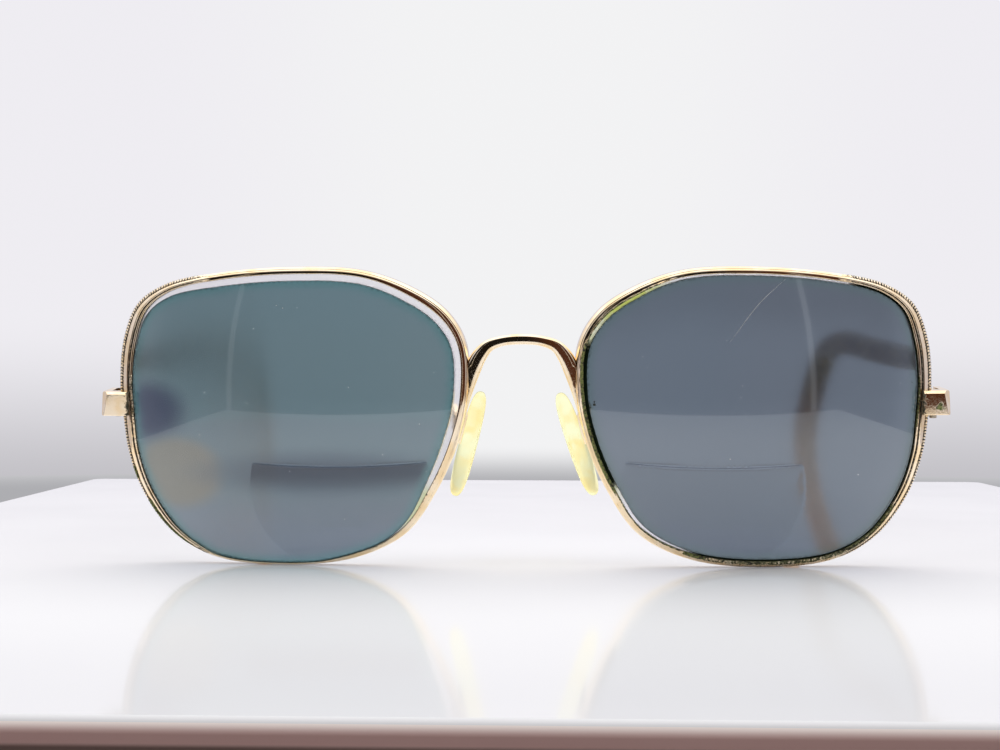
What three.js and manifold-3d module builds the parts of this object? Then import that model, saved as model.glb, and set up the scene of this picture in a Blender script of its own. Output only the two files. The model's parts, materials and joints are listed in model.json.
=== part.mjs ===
// A pair of vintage full-rim metal sunglasses with bifocal lenses, standing open on a table.
// Millimetres, +Z up. The front faces -Y and the temples run back along +Y. +X is the wearer's left.
// Everything is drawn for the +X side and mirrored for the other one.

import * as THREE from "three";
import { mergeVertices } from "three/addons/utils/BufferGeometryUtils.js";
import Module from "manifold-3d";

const wasm = await Module();
wasm.setup();

// ---- Driving dimensions ----

const LEAN = THREE.MathUtils.degToRad(8); // the front leans forward, so that its rims tilt under the brow
const WRAP = THREE.MathUtils.degToRad(3); // each eye turns back a little towards its temple
const EYE = new THREE.Vector3(38.25, -4, 25); // middle of one lens's front surface, on the front's own axes

// The rim's outer edge about the middle of the lens: across, up, and how wide the metal is there.
const RIM = [
  [30.0, 0.0, 2.3],
  [30.3, 6.0, 2.3],
  [29.5, 13.0, 2.3],
  [27.4, 18.8, 2.2],
  [22.3, 22.1, 2.0],
  [12.0, 24.3, 1.8],
  [-1.0, 25.3, 1.7],
  [-11.5, 24.8, 1.7],
  [-19.4, 22.1, 1.8],
  [-25.4, 18.0, 1.8],
  [-28.6, 12.6, 1.8],
  [-29.0, 4.0, 1.8],
  [-27.3, -4.0, 1.8],
  [-23.8, -12.0, 1.7],
  [-18.6, -19.3, 1.4],
  [-10.0, -23.6, 1.2],
  [3.0, -25.0, 1.1],
  [14.6, -24.0, 1.3],
  [21.9, -20.0, 1.7],
  [27.0, -13.0, 2.1],
  [29.3, -6.0, 2.3],
];
const RIM_STEPS = 60; // straight pieces round the outline
const RIM_PROUD = 0.45; // how far the rim stands in front of the lens
const RIM_DEEP = 2.1; // front to back
const RIM_SPLIT = 0.4; // slot where the closing screw pulls the rim together

const GLASS_FRONT_R = 80; // front surface of the lens
const GLASS_BACK_R = 166; // back surface, flatter, so that the lens magnifies
const GLASS_THICK = 4.4; // in the middle
const BEVEL = 0.35; // how far the lens's edge stands into the rim
const BEVEL_FRONT = 0.25; // from the front surface to the bevel
const BEVEL_THICK = 0.6;
const FIT = 0.06; // clearance between touching pieces
const SEGMENT = { x: -6.6, z: -11.4, r: 15, top: -6.9, thick: 0.6 }; // reading segment

const END = { z: 27.25, tall: 4.05, inner: 66.6, outer: 71.3, back: 7.45 }; // end piece, on the front's axes
const PLATE = 1.45; // thickness of the end piece's arm and of the temple bar

const HINGE = { x: 68.5, y: 7.6, knuckle: 1.2, gap: 0.1, r: 1.15, bore: 0.55, screw: 0.5, head: 0.9 };
const BAR_TALL = 3.4;
const SLEEVE = { thick: 3.7, tall: 4.6, start: 21 };
const CORE = { thick: 0.9, tall: 1.7 };

// The temple's centre line, from the hinge to the tip behind the ear, as it stands on the table.
const TEMPLE = [
  [70.57, 4.05, 28.05],
  [70.57, 7.6, 28.3],
  [70.5, 12.0, 30.6],
  [70.4, 16.5, 33.2],
  [70.2, 22.0, 34.5],
  [69.8, 40.0, 35.0],
  [69.0, 64.0, 36.1],
  [68.0, 84.0, 37.0],
  [67.2, 93.5, 35.2],
  [66.1, 100.0, 28.8],
  [65.1, 103.6, 20.0],
  [66.1, 106.5, 11.0],
  [69.2, 110.0, 0.4],
];

const PAD = { x: 9.75, y: 7.1, z: 19.3, long: 18.4, wide: 8.4, thick: 2.7 };
const PAD_TILT = THREE.MathUtils.degToRad(13.7); // tops lean in towards the nose
const PAD_SPLAY = THREE.MathUtils.degToRad(5); // back edges stand further apart
const PAD_MOUNT = 3.0; // the box sits this far above the pad's middle
const PIVOT = { x: 2.55, r: 0.35, bore: 0.41 };

// ---- Materials ----

const GOLD = { color: 0xc9a36a, metalness: 1, roughness: 0.25 };
const STEEL = { color: 0xa8a49a, metalness: 1, roughness: 0.35 };
const GLASS = { color: 0x5a6b76, metalness: 0, roughness: 0.05 };
const PAD_PLASTIC = { color: 0xf2e79a, metalness: 0, roughness: 0.35 };
const TORTOISE = { color: 0x4a3a22, metalness: 0, roughness: 0.3 };

// ---- Solids ----

function solid(geometry) {
  const plain = geometry.index ? geometry.toNonIndexed() : geometry.clone();
  plain.deleteAttribute("normal");
  plain.deleteAttribute("uv");
  const merged = mergeVertices(plain, 1e-4);
  return new wasm.Manifold(
    new wasm.Mesh({
      numProp: 3,
      vertProperties: merged.attributes.position.array,
      triVerts: new Uint32Array(merged.index.array),
    }),
  );
}

function geometryOf(body) {
  const mesh = body.getMesh();
  const made = new THREE.BufferGeometry();
  made.setAttribute("position", new THREE.BufferAttribute(new Float32Array(mesh.vertProperties), 3));
  made.setIndex(new THREE.BufferAttribute(new Uint32Array(mesh.triVerts), 1));
  return made;
}

// The same body in another place. A mirroring matrix turns its faces round, so they are turned back.
function moved(body, matrix) {
  const made = geometryOf(body);
  made.applyMatrix4(matrix);
  if (matrix.determinant() < 0) made.index.array.reverse();
  return solid(made);
}

function box(low, high) {
  const size = high.map((h, i) => h - low[i]);
  const middle = high.map((h, i) => (h + low[i]) / 2);
  return solid(new THREE.BoxGeometry(...size).translate(...middle));
}

// A cylinder between two heights along Z.
function post(x, y, low, high, radius, sides = 20) {
  const made = new THREE.CylinderGeometry(radius, radius, high - low, sides);
  made.rotateX(Math.PI / 2);
  return solid(made.translate(x, y, (low + high) / 2));
}

// A flat outline in X and Z, thick from one Y to another.
function slab(points, yLow, yHigh, hole = null) {
  const shape = new THREE.Shape(points);
  if (hole) shape.holes.push(new THREE.Path(hole));
  const made = new THREE.ExtrudeGeometry(shape, { depth: yHigh - yLow, bevelEnabled: false });
  made.rotateX(Math.PI / 2);
  return solid(made.translate(0, yHigh, 0));
}

// A flat outline in X and Y, thick from one Z to another.
function plan(points, low, high) {
  const shape = new THREE.Shape(points.map(([x, y]) => new THREE.Vector2(x, y)));
  const made = new THREE.ExtrudeGeometry(shape, { depth: high - low, bevelEnabled: false });
  return solid(made.translate(0, 0, low));
}

// A rounded section, swept along a curve.
function sweep(curve, steps, thick, tall, sides, squareness = 0.7) {
  const section = [];
  for (let i = 0; i < sides; i++) {
    const a = (i / sides) * Math.PI * 2;
    const across = Math.sign(Math.cos(a)) * Math.abs(Math.cos(a)) ** squareness;
    const up = Math.sign(Math.sin(a)) * Math.abs(Math.sin(a)) ** squareness;
    section.push(new THREE.Vector2((across * thick) / 2, (up * tall) / 2));
  }
  return solid(new THREE.ExtrudeGeometry(new THREE.Shape(section), { steps, extrudePath: curve }));
}

// ---- The rim and its lens, about the middle of the lens's front surface ----

const rimCurve = new THREE.CatmullRomCurve3(
  RIM.map(([x, z, width]) => new THREE.Vector3(x, z, width)),
  true,
  "centripetal",
);

// The outline moved inwards by inset(width), as points in X and Z.
function rimLoop(inset) {
  const loop = [];
  for (let i = 0; i < RIM_STEPS; i++) {
    const t = i / RIM_STEPS;
    const here = rimCurve.getPointAt(t);
    const along = rimCurve.getTangentAt(t);
    const inward = new THREE.Vector2(-along.y, along.x).normalize().multiplyScalar(inset(here.z));
    loop.push(new THREE.Vector2(here.x + inward.x, here.y + inward.y));
  }
  return loop;
}

function sag(radius, out) {
  return radius - Math.sqrt(radius * radius - out * out);
}

// A round dish between two spherical surfaces, whose front and back cross the Y axis at frontY and backY.
function dish(frontRadius, frontY, backRadius, backY) {
  const reach = 36; // a little past the rim's furthest point
  const rings = 4;
  const profile = [];
  for (let i = 0; i <= rings; i++) {
    const out = (reach * i) / rings;
    profile.push(new THREE.Vector2(out, frontY + sag(frontRadius, out)));
  }
  for (let i = rings; i >= 0; i--) {
    const out = (reach * i) / rings;
    profile.push(new THREE.Vector2(out, backY + sag(backRadius, out)));
  }
  return solid(new THREE.LatheGeometry(profile, 32));
}

// A dish of even thickness that starts so far behind the lens's front surface.
function shell(behind, thick) {
  const front = GLASS_FRONT_R - behind;
  return dish(front, behind, front - thick, behind + thick);
}

const SLAB_FRONT = -3;
const SLAB_BACK = 14;

function rimBand(outerInset, innerInset, behind, thick) {
  const ring = slab(rimLoop(outerInset), SLAB_FRONT, SLAB_BACK, rimLoop(innerInset));
  return ring.intersect(shell(behind, thick));
}

// The split beside the end piece runs between these X, right through the band.
const SPLIT_FROM = 25;
const SPLIT_TO = 34;

function rimSolid() {
  const band = rimBand(() => 0, (width) => width, -RIM_PROUD, RIM_DEEP);
  const groove = slab(rimLoop((width) => width - BEVEL - FIT), SLAB_FRONT, SLAB_BACK).intersect(
    shell(BEVEL_FRONT - FIT, BEVEL_THICK + 2 * FIT),
  );
  const splitZ = END.z - EYE.z;
  const slot = box(
    [SPLIT_FROM, SLAB_FRONT, splitZ - RIM_SPLIT / 2],
    [SPLIT_TO, SLAB_BACK, splitZ + RIM_SPLIT / 2],
  );
  return band.subtract(groove).subtract(slot);
}

function segmentLoop(grow) {
  const top = SEGMENT.top + grow;
  const r = SEGMENT.r + grow;
  const start = Math.asin((top - SEGMENT.z) / r);
  const turn = Math.PI + 2 * start;
  const steps = 20;
  const loop = [];
  for (let i = 0; i <= steps; i++) {
    const a = start - (turn * i) / steps;
    loop.push(new THREE.Vector2(SEGMENT.x + r * Math.cos(a), SEGMENT.z + r * Math.sin(a)));
  }
  return loop;
}

const SEGMENT_CLEAR = 0.6; // between the segment's lower edge and the rim

function segmentSolid(grow) {
  const disc = slab(segmentLoop(grow).reverse(), SLAB_FRONT, SLAB_BACK);
  const within = slab(rimLoop((width) => width + SEGMENT_CLEAR - grow), SLAB_FRONT, SLAB_BACK);
  return disc.intersect(within);
}

function lensSolid() {
  const glass = dish(GLASS_FRONT_R, 0, GLASS_BACK_R, GLASS_THICK);
  const body = slab(rimLoop((width) => width + FIT), SLAB_FRONT, SLAB_BACK).intersect(glass);
  const bevel = slab(rimLoop((width) => width - BEVEL), SLAB_FRONT, SLAB_BACK).intersect(
    shell(BEVEL_FRONT, BEVEL_THICK),
  );
  const pocket = segmentSolid(FIT).intersect(shell(-1, 1 + SEGMENT.thick + FIT));
  return body.add(bevel).subtract(pocket);
}

function readingSegmentSolid() {
  return segmentSolid(0).intersect(shell(0, SEGMENT.thick));
}

// ---- End piece, closing blocks and hinge, on the front's own axes ----

const ROOM = 0.1; // left between the rim and what is soldered to it

// The space that the +X rim takes on the front, with a little room round it.
function rimClearance() {
  const deep = RIM_DEEP + 2 * ROOM;
  const clear = rimBand(() => -ROOM, (width) => width + ROOM, -RIM_PROUD - ROOM, deep);
  const place = new THREE.Matrix4().makeTranslation(...EYE.toArray());
  return moved(clear, place.multiply(new THREE.Matrix4().makeRotationZ(WRAP)));
}

// A plate that runs outwards from the rim, turns a chamfered corner and runs back to the hinge.
function endPieceSolid() {
  const low = END.z - END.tall / 2;
  const high = END.z + END.tall / 2;
  const arm = END.outer - PLATE;
  const chamfer = 1.4;
  const innerBend = 2.4;
  const outline = [
    [END.inner, 0.75],
    [END.outer - chamfer, 1.6],
    [END.outer, 2.9],
    [END.outer, END.back],
    [arm, END.back],
    [arm, 3.7],
    [arm - innerBend, 3.4],
    [END.inner, 2.2],
  ];
  return plan(outline, low, high).subtract(rimClearance());
}

// Two blocks behind the end piece, one above and one below the rim's split, on one upright screw.
// The cut for a screwdriver across a screw's head, between two heights.
function driverSlot(x, y, low, high) {
  const long = 2; // longer than any head is wide
  const half = 0.11;
  return box([x - long, y - half, low], [x + long, y + half, high]);
}

const CLOSING = { x: 69.1, y: 4.45, low: 25.4, high: 29.1, screw: 0.4, head: 0.62, headTall: 0.6 };
const BLOCK_LOW = [68.42, 3.8];
const BLOCK_HIGH = [69.78, 5.0];

function closingBlockSolid(low, high) {
  const block = box([...BLOCK_LOW, low], [...BLOCK_HIGH, high]);
  return block.subtract(post(CLOSING.x, CLOSING.y, low - 1, high + 1, CLOSING.screw + FIT, 16));
}

// The screw goes in from below.
function closingScrewSolid() {
  const bottom = CLOSING.low - CLOSING.headTall;
  const half = CLOSING.headTall / 2;
  const shank = post(CLOSING.x, CLOSING.y, bottom + half, CLOSING.high, CLOSING.screw, 16);
  const head = post(CLOSING.x, CLOSING.y, bottom, CLOSING.low - FIT, CLOSING.head, 16);
  return shank.add(head).subtract(driverSlot(CLOSING.x, CLOSING.y, bottom - 1, bottom + 0.2));
}

// The hinge is drawn about its own axis, with Z along it.
const LEAF_IN = END.outer - PLATE - HINGE.x - FIT; // the leaf's face against the arm
const LEAF = 0.42;
const PITCH = HINGE.knuckle + HINGE.gap;
const FRONT_LEAF = { from: -2.2, to: -0.75, half: 1.85 }; // along Y, and half its height
const TEMPLE_LEAF = { from: 1.35, to: 4.2, half: 1.5 };
const WEB_IN = 0.2; // the webs start this far out from the axis
const WEB_FRONT = -1.25;
const WEB_BACK = 1.9;

// A barrel round the axis and the web that joins it to its leaf, in front of it or behind it.
function knuckle(level, webEnd) {
  const low = level * PITCH - HINGE.knuckle / 2;
  const high = level * PITCH + HINGE.knuckle / 2;
  const web = box([WEB_IN, Math.min(webEnd, 0), low], [LEAF_IN, Math.max(webEnd, 0), high]);
  return post(0, 0, low, high, HINGE.r).add(web);
}

function leafSolid(leaf) {
  return box([LEAF_IN - LEAF, leaf.from, -leaf.half], [LEAF_IN, leaf.to, leaf.half]);
}

function bored(body) {
  const past = 2 * PITCH;
  return body.subtract(post(0, 0, -past, past, HINGE.bore, 16));
}

function frontHingeSolid() {
  return bored(leafSolid(FRONT_LEAF).add(knuckle(1, WEB_FRONT)).add(knuckle(-1, WEB_FRONT)));
}

function templeHingeSolid() {
  return bored(leafSolid(TEMPLE_LEAF).add(knuckle(0, WEB_BACK)));
}

// The screw goes in from above.
function hingeScrewSolid() {
  const top = PITCH + HINGE.knuckle / 2;
  const headTop = top + 0.5;
  const shank = post(0, 0, -top, top + 0.2, HINGE.screw, 16);
  const head = post(0, 0, top + FIT, headTop, HINGE.head, 20);
  return shank.add(head).subtract(driverSlot(0, 0, headTop - 0.22, headTop + 1));
}

// ---- Temple, as it stands on the table ----

const templeCurve = new THREE.CatmullRomCurve3(
  TEMPLE.map((p) => new THREE.Vector3(...p)),
  false,
  "centripetal",
);

// A part of the temple's centre line between two shares of its length.
class Stretch extends THREE.Curve {
  constructor(from, to) {
    super();
    this.from = from;
    this.to = to;
  }

  getPoint(t, target = new THREE.Vector3()) {
    return templeCurve.getPointAt(this.from + (this.to - this.from) * t, target);
  }
}

// The share of the temple's length at which it has gone back to y.
function shareAt(y) {
  let share = 0;
  while (templeCurve.getPointAt(share).y < y) share += 0.001;
  return share;
}

// Shares of the temple's length.
const sleeveShare = shareAt(SLEEVE.start);
const CORE_START = sleeveShare - 0.02;
const CORE_END = 0.93;
const BAR_END = sleeveShare - 0.008;
const TUBE_END = 0.985;
const CORE_FIT = 0.12; // round the wire inside the sleeve

// The flat wire that runs on from the bar inside the sleeve.
function coreSolid(grow) {
  const path = new Stretch(CORE_START, CORE_END + grow / 100);
  const steps = 26;
  return sweep(path, steps, CORE.thick + 2 * grow, CORE.tall + 2 * grow, 6);
}

function templeBarSolid() {
  const squareness = 0.35; // nearly a flat bar
  const bar = sweep(new Stretch(0, BAR_END), 12, PLATE, BAR_TALL, 8, squareness);
  return bar.add(coreSolid(0));
}

function sleeveSolid() {
  const steps = 30;
  const sides = 10;
  const tipLong = 1.9;
  const tube = sweep(new Stretch(sleeveShare, TUBE_END), steps, SLEEVE.thick, SLEEVE.tall, sides);
  const tip = new THREE.SphereGeometry(1, sides, 6);
  tip.scale(SLEEVE.thick / 2, SLEEVE.tall / 2, tipLong);
  const along = templeCurve.getTangentAt(TUBE_END);
  tip.applyQuaternion(new THREE.Quaternion().setFromUnitVectors(new THREE.Vector3(0, 0, -1), along));
  tip.translate(...templeCurve.getPointAt(TUBE_END).toArray());
  return tube.add(solid(tip)).subtract(coreSolid(CORE_FIT));
}

// ---- Bridge ----

const BRIDGE_OUTER = [
  [-8.6, 29.4],
  [-8.6, 33.0],
  [-8.1, 35.6],
  [-6.3, 37.95],
  [-3.4, 38.98],
  [0, 39.3],
];
const BRIDGE_INNER = [
  [0, 37.55],
  [-3.2, 37.3],
  [-5.4, 36.5],
  [-6.55, 34.9],
  [-7.4, 32.6],
  [-8.15, 29.4],
];
const BRIDGE_DEEP = 1.8;
const BRIDGE_FORWARD = 1.4; // its middle stands this far in front of its ends
const BRIDGE_BACK = 0.15; // its ends stand this far behind the front's own plane
const BRIDGE_REACH = 8.7; // from its middle to its ends
const BRIDGE_STEPS = 40;

function mirroredArch(half) {
  const other = half.slice(0, -1).reverse();
  return [...half, ...other.map(([x, z]) => [-x, z])];
}

function archPoints(half, steps) {
  const points = mirroredArch(half).map(([x, z]) => new THREE.Vector3(x, z, 0));
  const curve = new THREE.CatmullRomCurve3(points, false, "centripetal");
  return curve.getSpacedPoints(steps).map((p) => new THREE.Vector2(p.x, p.y));
}

function bridgeSolid() {
  const outer = archPoints(BRIDGE_OUTER, BRIDGE_STEPS);
  const inner = archPoints([...BRIDGE_INNER].reverse(), BRIDGE_STEPS);
  const shape = new THREE.Shape([...outer, ...inner.reverse()]);
  const made = new THREE.ExtrudeGeometry(shape, { depth: BRIDGE_DEEP, bevelEnabled: false });
  made.rotateX(Math.PI / 2);
  const place = made.attributes.position;
  for (let i = 0; i < place.count; i++) {
    const share = Math.min(1, Math.abs(place.getX(i)) / BRIDGE_REACH);
    const back = BRIDGE_DEEP + BRIDGE_BACK - BRIDGE_FORWARD * (1 - share * share);
    place.setY(i, place.getY(i) + back);
  }
  const clear = rimClearance();
  const mirror = new THREE.Matrix4().makeScale(-1, 1, 1);
  return solid(made).subtract(clear).subtract(moved(clear, mirror));
}

// ---- Nose pad, about its own middle: X through it, Z along it ----

const FACE = PAD.thick / 2;
const BOX = { half: 1.7, tall: 2.6, sunk: 0.34, proud: 0.16 }; // its plate, and how it sits in the pad
const EAR = { from: 0.85, to: 1.45, r: 0.85 }; // two ears, at these distances each side of the middle
const LUG = { half: 0.72, r: 0.8 }; // the arm's eye, between the ears
const PAD_SCREW = { head: 0.6, headFrom: -1.8, from: -1.55, to: 1.6 };

function padSolid() {
  const points = [];
  const steps = 20;
  const bevel = 0.75;
  for (let i = 0; i < steps; i++) {
    const a = (i / steps) * Math.PI * 2;
    const narrow = 1 - 0.12 * Math.sin(a); // the top is a little narrower
    points.push(
      new THREE.Vector2(
        (PAD.wide / 2 - bevel) * narrow * Math.cos(a),
        (PAD.long / 2 - bevel) * Math.sin(a),
      ),
    );
  }
  const made = new THREE.ExtrudeGeometry(new THREE.Shape(points), {
    depth: PAD.thick - 2 * bevel,
    bevelThickness: bevel,
    bevelSize: bevel,
    bevelSegments: 2,
  });
  made.translate(0, 0, bevel - PAD.thick / 2);
  made.rotateX(Math.PI / 2);
  made.rotateZ(-Math.PI / 2);
  const bottom = 0.4; // how deep the box's plate may lie
  const pocket = box(
    [FACE - bottom, -BOX.half - FIT, PAD_MOUNT - BOX.tall - FIT],
    [FACE + 1, BOX.half + FIT, PAD_MOUNT + BOX.tall + FIT],
  );
  return solid(made).subtract(pocket);
}

// A disc or a hole across the ears, along Y.
function crossPin(yLow, yHigh, radius) {
  const made = new THREE.CylinderGeometry(radius, radius, yHigh - yLow, 16);
  return solid(made.translate(PIVOT.x, (yLow + yHigh) / 2, PAD_MOUNT));
}

function earSolid(yLow, yHigh) {
  const ear = box([FACE, yLow, PAD_MOUNT - EAR.r], [PIVOT.x, yHigh, PAD_MOUNT + EAR.r]);
  return ear.add(crossPin(yLow, yHigh, EAR.r));
}

function pivotBore() {
  return crossPin(-2, 2, PIVOT.bore);
}

function padBoxSolid() {
  const plate = box(
    [FACE - BOX.sunk, -BOX.half, PAD_MOUNT - BOX.tall],
    [FACE + BOX.proud, BOX.half, PAD_MOUNT + BOX.tall],
  );
  const ears = earSolid(EAR.from, EAR.to).add(earSolid(-EAR.to, -EAR.from));
  return plate.add(ears).subtract(pivotBore());
}

function padScrewSolid() {
  const shank = crossPin(PAD_SCREW.from, PAD_SCREW.to, PIVOT.r);
  return shank.add(crossPin(PAD_SCREW.headFrom, PAD_SCREW.from + 0.05, PAD_SCREW.head));
}

// The pad's place on the front.
function padPlace() {
  const place = new THREE.Matrix4().makeTranslation(PAD.x, PAD.y, PAD.z);
  place.multiply(new THREE.Matrix4().makeRotationY(-PAD_TILT));
  return place.multiply(new THREE.Matrix4().makeRotationZ(-PAD_SPLAY));
}

// The arm's centre line on the front, from its foot on the back of the rim.
const ARM_BOW = [
  [11.15, 2.5, 25.6],
  [11.5, 4.0, 26.6],
  [12.0, 6.3, 26.3],
  [12.0, 7.2, 24.6],
];
const ARM_WIRE = 0.95;

// A wire from the back of the rim, round in a bow, to the eye that the pad's screw goes through.
function padArmSolid() {
  const eye = new THREE.Vector3(PIVOT.x + 0.45, 0, PAD_MOUNT + 0.35).applyMatrix4(padPlace());
  const points = [...ARM_BOW.map((p) => new THREE.Vector3(...p)), eye];
  const path = new THREE.CatmullRomCurve3(points, false, "centripetal");
  const wire = sweep(path, 12, ARM_WIRE, ARM_WIRE, 8, 1);
  const back = moved(wire, padPlace().invert());
  const lug = crossPin(-LUG.half, LUG.half, LUG.r);
  return back.add(lug).subtract(pivotBore());
}

// ---- Assembly ----

function piece(name, body, material) {
  const mesh = new THREE.Mesh(geometryOf(body), new THREE.MeshStandardMaterial(material));
  mesh.name = name;
  return mesh;
}

const rim = rimSolid();
const lens = lensSolid();
const readingSegment = readingSegmentSolid();
const endPiece = endPieceSolid();
const splitLow = END.z - RIM_SPLIT / 2;
const splitHigh = END.z + RIM_SPLIT / 2;
const lowerBlock = closingBlockSolid(CLOSING.low, splitLow);
const upperBlock = closingBlockSolid(splitHigh, CLOSING.high);
const closingScrew = closingScrewSolid();
const frontHinge = frontHingeSolid();
const templeHinge = templeHingeSolid();
const hingeScrew = hingeScrewSolid();
const templeBar = templeBarSolid();
const templeSleeve = sleeveSolid();
const padArm = padArmSolid();
const padBox = padBoxSolid();
const padScrew = padScrewSolid();
const nosePad = padSolid();

// One side of the front, on the front's own axes.
function frontHalf(side) {
  const half = new THREE.Group();
  const eye = new THREE.Group();
  eye.position.copy(EYE);
  eye.rotation.z = WRAP;
  eye.add(piece(side + "_rim", rim, GOLD));
  eye.add(piece(side + "_lens", lens, GLASS));
  eye.add(piece(side + "_reading_segment", readingSegment, GLASS));
  half.add(eye);
  half.add(piece(side + "_end_piece", endPiece, GOLD));
  half.add(piece(side + "_closing_block_upper", upperBlock, GOLD));
  half.add(piece(side + "_closing_block_lower", lowerBlock, GOLD));
  half.add(piece(side + "_closing_screw", closingScrew, STEEL));
  const pad = new THREE.Group();
  padPlace().decompose(pad.position, pad.quaternion, pad.scale);
  pad.add(piece(side + "_pad_arm", padArm, GOLD));
  pad.add(piece(side + "_pad_screw", padScrew, STEEL));
  pad.add(piece(side + "_pad_box", padBox, GOLD));
  pad.add(piece(side + "_nose_pad", nosePad, PAD_PLASTIC));
  half.add(pad);
  return half;
}

// One temple with its hinge, whose axis stands upright.
function templeHalf(side) {
  const half = new THREE.Group();
  const hinge = new THREE.Group();
  const axis = new THREE.Vector3(HINGE.x, HINGE.y, END.z).applyAxisAngle(new THREE.Vector3(1, 0, 0), LEAN);
  hinge.position.copy(axis);
  hinge.add(piece(side + "_front_hinge", frontHinge, GOLD));
  hinge.add(piece(side + "_temple_hinge", templeHinge, GOLD));
  hinge.add(piece(side + "_hinge_screw", hingeScrew, STEEL));
  half.add(hinge);
  half.add(piece(side + "_temple_bar", templeBar, GOLD));
  half.add(piece(side + "_temple_sleeve", templeSleeve, TORTOISE));
  return half;
}

const glasses = new THREE.Group();
const front = new THREE.Group();
front.rotation.x = LEAN;
front.add(piece("bridge", bridgeSolid(), GOLD));
glasses.add(front);
for (const [side, sign] of [
  ["left", 1],
  ["right", -1],
]) {
  const onFront = frontHalf(side);
  const temple = templeHalf(side);
  onFront.scale.x = sign;
  temple.scale.x = sign;
  front.add(onFront);
  glasses.add(temple);
}

// The origin is on the table, under the middle of the whole pair.
glasses.updateMatrixWorld(true);
const extent = new THREE.Box3().setFromObject(glasses, true);
glasses.position.y = -(extent.min.y + extent.max.y) / 2;
glasses.position.z = -extent.min.z;

const part = new THREE.Group();
part.add(glasses);
export default part;
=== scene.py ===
"""Vintage full-rim metal sunglasses with bifocal lenses, standing open on a white table.

Shapes are drawn in millimetres on the CAD model's own axes, then placed in metres.
"""

import json
import math
import random
from bisect import bisect_right

import bmesh
import bpy
from mathutils import Matrix, Vector, noise
from mathutils.geometry import delaunay_2d_cdt


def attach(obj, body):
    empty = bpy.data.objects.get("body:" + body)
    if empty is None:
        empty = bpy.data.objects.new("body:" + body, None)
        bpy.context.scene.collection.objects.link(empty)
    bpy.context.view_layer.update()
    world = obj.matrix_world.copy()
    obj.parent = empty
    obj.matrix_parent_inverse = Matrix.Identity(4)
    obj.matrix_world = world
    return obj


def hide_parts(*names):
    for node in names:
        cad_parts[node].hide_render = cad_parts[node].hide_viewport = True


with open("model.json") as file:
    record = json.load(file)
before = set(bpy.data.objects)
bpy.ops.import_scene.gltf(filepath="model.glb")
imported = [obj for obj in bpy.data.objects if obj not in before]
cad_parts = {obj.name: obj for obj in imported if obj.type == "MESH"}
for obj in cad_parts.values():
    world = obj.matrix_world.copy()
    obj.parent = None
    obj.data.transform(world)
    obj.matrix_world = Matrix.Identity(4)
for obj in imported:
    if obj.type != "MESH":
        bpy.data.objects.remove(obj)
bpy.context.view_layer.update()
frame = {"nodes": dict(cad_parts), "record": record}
random.seed(7)

MM = 0.001
LEAN = math.radians(8)  # the front leans forward
WRAP = math.radians(3)  # each eye turns back towards its temple
EYE = Vector((38.25, -4, 25))  # middle of a lens's front surface, on the front's axes
HINGE = Vector((68.5, 7.6, 27.25))  # middle of a hinge, on the front's axes
SIDES = {"left": 1, "right": -1}

# ---- Places ----


def joint_place(name):
    """Where a joint of the record is, in millimetres."""
    joints = frame["record"]["behaviour"]["joints"]
    return Vector(next(j["pos_m"] for j in joints if j["name"] == name)) / MM


LEANING = Matrix.Rotation(LEAN, 4, "X")
SHIFT = Matrix.Translation(joint_place("left_temple_fold") - LEANING @ HINGE)
WORLD = Matrix.Scale(MM, 4)
ON_TABLE = WORLD @ SHIFT  # from the part's upright axes
ON_FRONT = ON_TABLE @ LEANING  # from the leaning front's axes


def mirrored(side):
    return Matrix.Diagonal((SIDES[side], 1, 1, 1))


def eye_place(side):
    """From one eye's axes, with +X towards the temple."""
    return ON_FRONT @ mirrored(side) @ Matrix.Translation(EYE) @ Matrix.Rotation(WRAP, 4, "Z")


PAD_MIDDLE = Vector((9.4, 7.1, 19.65))
PAD_TILT = math.radians(13.7)
PAD_TURNED = {"left": math.radians(5.5), "right": math.radians(1)}  # how each has been bent since
PAD_SPLAY = math.radians(5)


def pad_place(side):
    """From one nose pad's axes: X through it, Z along it."""
    turn = Matrix.Rotation(-PAD_TILT - PAD_TURNED[side], 4, "Y") @ Matrix.Rotation(-PAD_SPLAY, 4, "Z")
    return ON_FRONT @ mirrored(side) @ Matrix.Translation(PAD_MIDDLE) @ turn


# ---- Numbers ----


def mix(a, b, share):
    return a + (b - a) * share


def smooth(value, low, high):
    """0 at low, 1 at high, smooth between them. low may be above high."""
    share = min(1, max(0, (value - low) / (high - low)))
    return share * share * (3 - 2 * share)


def sag(radius, out):
    return radius - math.sqrt(radius * radius - out * out)


def fractal(point, scale):
    """Noise from about -1 to 1."""
    return noise.fractal(Vector(point) * scale, 1, 2, 4)


# ---- Curves ----


def spline_point(p0, p1, p2, p3, t):
    """A point between p1 and p2 on a centripetal Catmull-Rom spline."""
    d0, d1, d2 = (max((b - a).length ** 0.5, 1e-4) for a, b in ((p0, p1), (p1, p2), (p2, p3)))
    m1 = ((p1 - p0) / d0 - (p2 - p0) / (d0 + d1) + (p2 - p1) / d1) * d1
    m2 = ((p2 - p1) / d1 - (p3 - p1) / (d1 + d2) + (p3 - p2) / d2) * d1
    c2 = -3 * p1 + 3 * p2 - 2 * m1 - m2
    c3 = 2 * p1 - 2 * p2 + m1 + m2
    return p1 + m1 * t + c2 * t * t + c3 * t * t * t


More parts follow.
